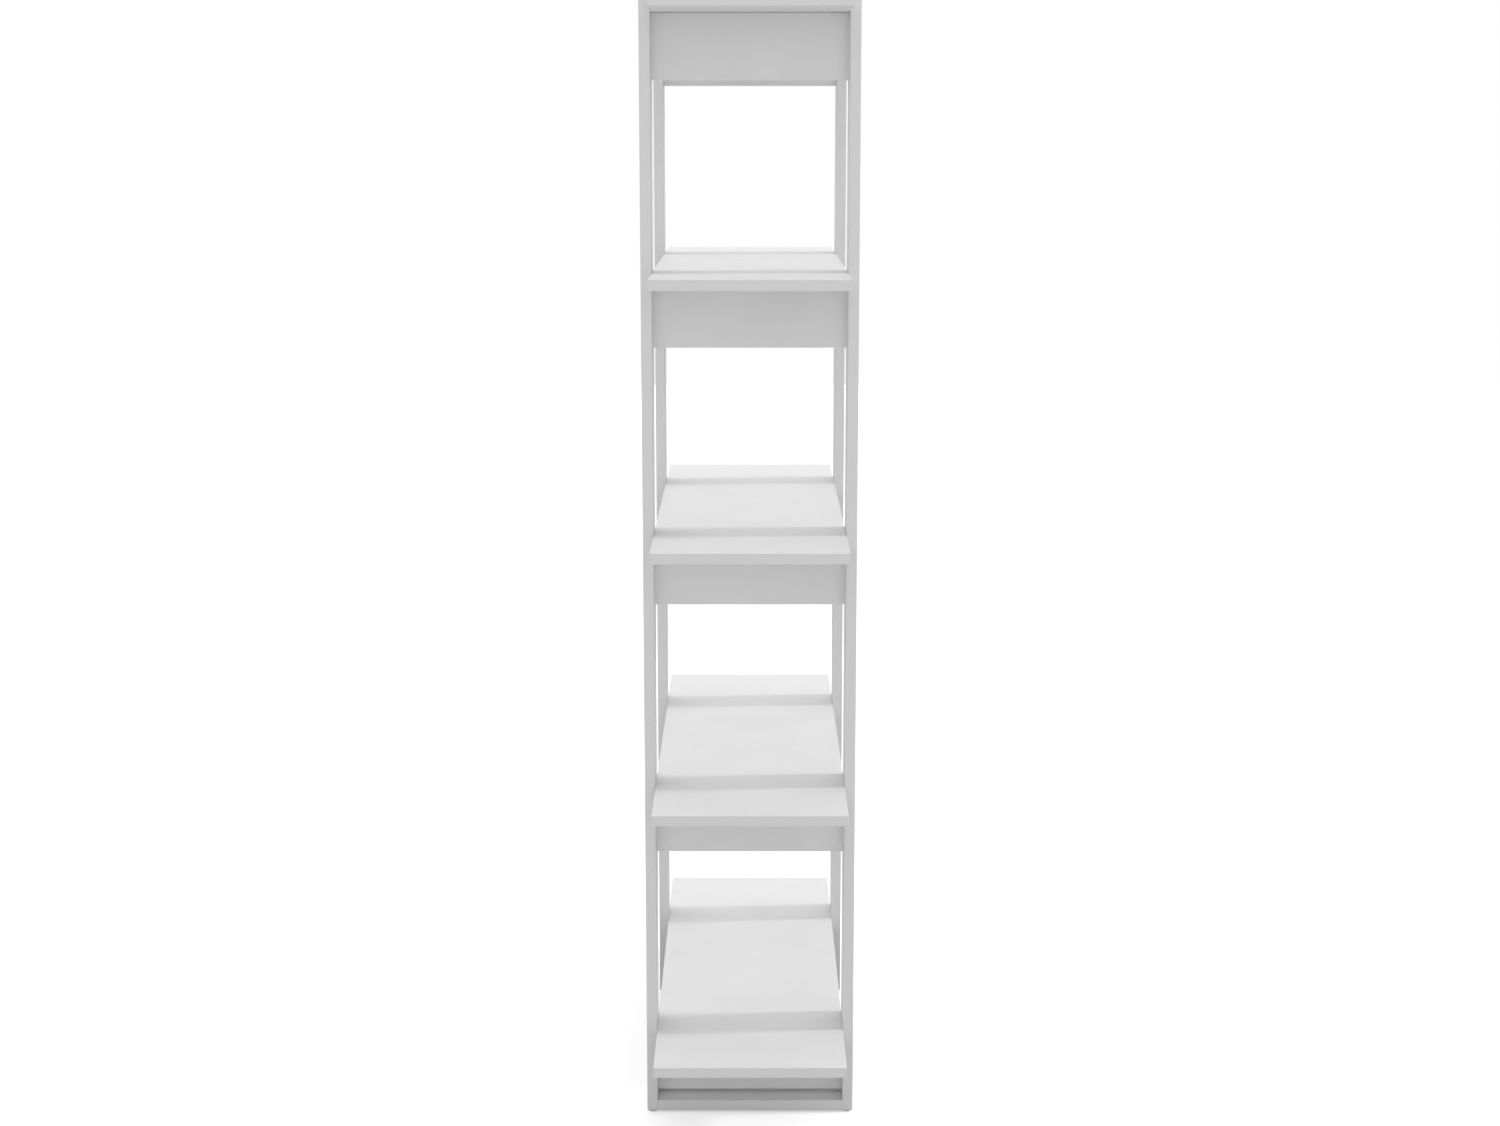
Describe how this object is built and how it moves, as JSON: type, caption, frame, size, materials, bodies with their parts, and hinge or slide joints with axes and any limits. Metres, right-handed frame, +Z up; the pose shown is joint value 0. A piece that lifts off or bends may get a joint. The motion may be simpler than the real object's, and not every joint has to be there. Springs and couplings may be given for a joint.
{
  "type": "open shelving unit",
  "caption": "Tall open white-board shelving unit: full-length shelves clamped by cam fittings between the flat posts of two portal frames, with an apron under each shelf",
  "frame": {"origin": "on the floor, under the middle of the unit", "axes": "+X along the shelves, to the right frame; +Y across the shelves, to the back posts; +Z up"},
  "size_m": [0.8, 0.3, 1.6],
  "materials": {
    "board": "white melamine-faced particleboard, fine satin texture",
    "edge_band": "white ABS strip, satin, 1 mm rounded",
    "dowel": "raw beech",
    "cam_bolt": "zinc-plated steel",
    "cam_lock": "die-cast zinc, dull",
    "cam_cover": "white moulded plastic",
    "glide": "off-white moulded plastic",
    "nail": "bright steel wire"
  },
  "bodies": {
    "root": {"post_front_left": "board", "post_front_right": "board", "post_back_left": "board", "post_back_right": "board", "bottom_shelf": "board", "lower_shelf": "board", "middle_shelf": "board", "upper_shelf": "board", "top_shelf": "board", "bottom_apron_left": "board", "bottom_apron_right": "board", "lower_apron_left": "board", "lower_apron_right": "board", "middle_apron_left": "board", "middle_apron_right": "board", "upper_apron_left": "board", "upper_apron_right": "board", "top_apron_left": "board", "top_apron_right": "board", "foot_rail_left": "board", "foot_rail_right": "board", "shelf_edge_bands": "edge_band", "post_edge_bands": "edge_band", "apron_edge_bands": "edge_band", "foot_rail_edge_bands": "edge_band", "dowels": "dowel", "cam_bolts": "cam_bolt", "cam_locks": "cam_lock", "cam_covers": "cam_cover", "floor_glides": "glide", "glide_nails": "nail"}
  },
  "joints": []
}
